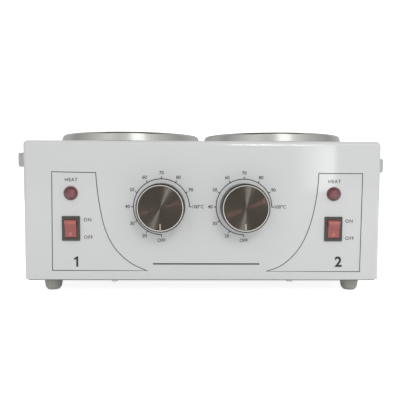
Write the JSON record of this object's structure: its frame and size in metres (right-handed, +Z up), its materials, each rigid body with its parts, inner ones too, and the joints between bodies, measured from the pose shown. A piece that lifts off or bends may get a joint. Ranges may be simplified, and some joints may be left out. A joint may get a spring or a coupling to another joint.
{
  "type": "twin wax warmer",
  "caption": "Twin-pot wax warmer: a painted steel casing with lift-out aluminium pots, thermostat knobs, pilot lamps, rocker switches and side handles.",
  "frame": {"origin": "middle of the overall box's underside, on the surface that the four feet stand on", "axes": "+X to the user's right along the casing's length, +Y from the control panel to the back, +Z up"},
  "size_m": [0.353, 0.178, 0.1389],
  "materials": {
    "painted_steel": "light grey semi-gloss powder coat",
    "base_coat": "dark grey dip-coated sheet steel",
    "zinc_sheet": "bright zinc-plated sheet steel",
    "zinc_screws": "zinc-plated steel",
    "foot_rubber": "dark grey matt rubber",
    "handle_plastic": "grey moulded plastic with a fine texture",
    "pot_aluminium": "polished, with fine turning lines",
    "well_aluminium": "drawn, satin",
    "mica_band": "steel-sheathed mica heater",
    "glass_fibre": "woven glass-fibre blanket",
    "copper_tube": "drawn copper, dull",
    "ceramic_fuse": "glazed cream ceramic",
    "stat_plastic": "cream moulded plastic",
    "knob_plastic": "gunmetal-coloured moulded plastic with a bright cut bevel",
    "knob_disc": "dark spun disc, anodised",
    "lamp_red": "dark red translucent lens",
    "lamp_white": "white moulded plastic",
    "switch_black": "dark grey moulded nylon",
    "rocker_red": "red translucent plastic",
    "tin_tabs": "nickel-plated brass",
    "inlet_black": "black moulded nylon",
    "live_brown": "brown silicone insulation",
    "neutral_blue": "blue silicone insulation",
    "heater_white": "white braided glass-fibre sleeve",
    "earth_green": "green and yellow insulation"
  },
  "bodies": {
    "casing": {"housing": "painted_steel", "base_plate": "base_coat", "thermostat_bracket_right": "zinc_sheet", "thermostat_bracket_left": "zinc_sheet", "bulb_clip_right": "zinc_sheet", "bulb_clip_left": "zinc_sheet", "base_screws": "zinc_screws", "foot_fasteners": "zinc_screws", "handle_screws": "zinc_screws", "well_fasteners": "zinc_screws", "band_bolts": "zinc_screws", "thermostat_screws": "zinc_screws", "inlet_screws": "zinc_screws", "terminal_block_screws": "zinc_screws", "earth_fasteners": "zinc_screws", "lamp_nut_right": "zinc_screws", "lamp_nut_left": "zinc_screws", "foot_front_left": "foot_rubber", "foot_front_right": "foot_rubber", "foot_back_left": "foot_rubber", "foot_back_right": "foot_rubber", "handle_right": "handle_plastic", "handle_left": "handle_plastic", "well_right": "well_aluminium", "well_left": "well_aluminium", "heater_band_right": "mica_band", "heater_band_left": "mica_band", "insulation_right": "glass_fibre", "insulation_left": "glass_fibre", "capillary_right": "copper_tube", "capillary_left": "copper_tube", "thermal_fuse_right": "ceramic_fuse", "thermal_fuse_left": "ceramic_fuse", "thermostat_body_right": "stat_plastic", "thermostat_body_left": "stat_plastic", "terminal_block": "stat_plastic", "lamp_lens_right": "lamp_red", "lamp_lens_left": "lamp_red", "lamp_holder_right": "lamp_white", "lamp_holder_left": "lamp_white", "switch_body_right": "switch_black", "switch_body_left": "switch_black", "switch_terminals": "tin_tabs", "inlet_pins": "tin_tabs", "inlet_body": "inlet_black", "live_leads": "live_brown", "neutral_leads": "neutral_blue", "heater_leads": "heater_white", "earth_lead": "earth_green"},
    "pot_right": {"wax_pot_right": "pot_aluminium"},
    "pot_left": {"wax_pot_left": "pot_aluminium"},
    "knob_right": {"knob_body_right": "knob_plastic", "knob_cap_right": "knob_disc", "thermostat_shaft_right": "zinc_screws"},
    "knob_left": {"knob_body_left": "knob_plastic", "knob_cap_left": "knob_disc", "thermostat_shaft_left": "zinc_screws"},
    "rocker_right": {"switch_rocker_right": "rocker_red"},
    "rocker_left": {"switch_rocker_left": "rocker_red"}
  },
  "joints": [
    {"name": "pot_right_lift", "type": "slide", "parent": "casing", "child": "pot_right", "axis": [0, 0, 1], "range_m": [0, 0.1]},
    {"name": "knob_right_turn", "type": "hinge", "parent": "casing", "child": "knob_right", "pos_m": [0.0349, -0.072, 0.0746], "axis": [0, 1, 0], "range_deg": [0, 270]},
    {"name": "rocker_right_press", "type": "hinge", "parent": "casing", "child": "rocker_right", "pos_m": [0.1111, -0.0717, 0.0561], "axis": [-1, 0, 0], "range_deg": [0, 20]},
    {"name": "pot_left_lift", "type": "slide", "parent": "casing", "child": "pot_left", "axis": [0, 0, 1], "range_m": [0, 0.1]},
    {"name": "knob_left_turn", "type": "hinge", "parent": "casing", "child": "knob_left", "pos_m": [-0.0349, -0.072, 0.0746], "axis": [0, 1, 0], "range_deg": [0, 270]},
    {"name": "rocker_left_press", "type": "hinge", "parent": "casing", "child": "rocker_left", "pos_m": [-0.1111, -0.0717, 0.0561], "axis": [-1, 0, 0], "range_deg": [0, 20]}
  ]
}
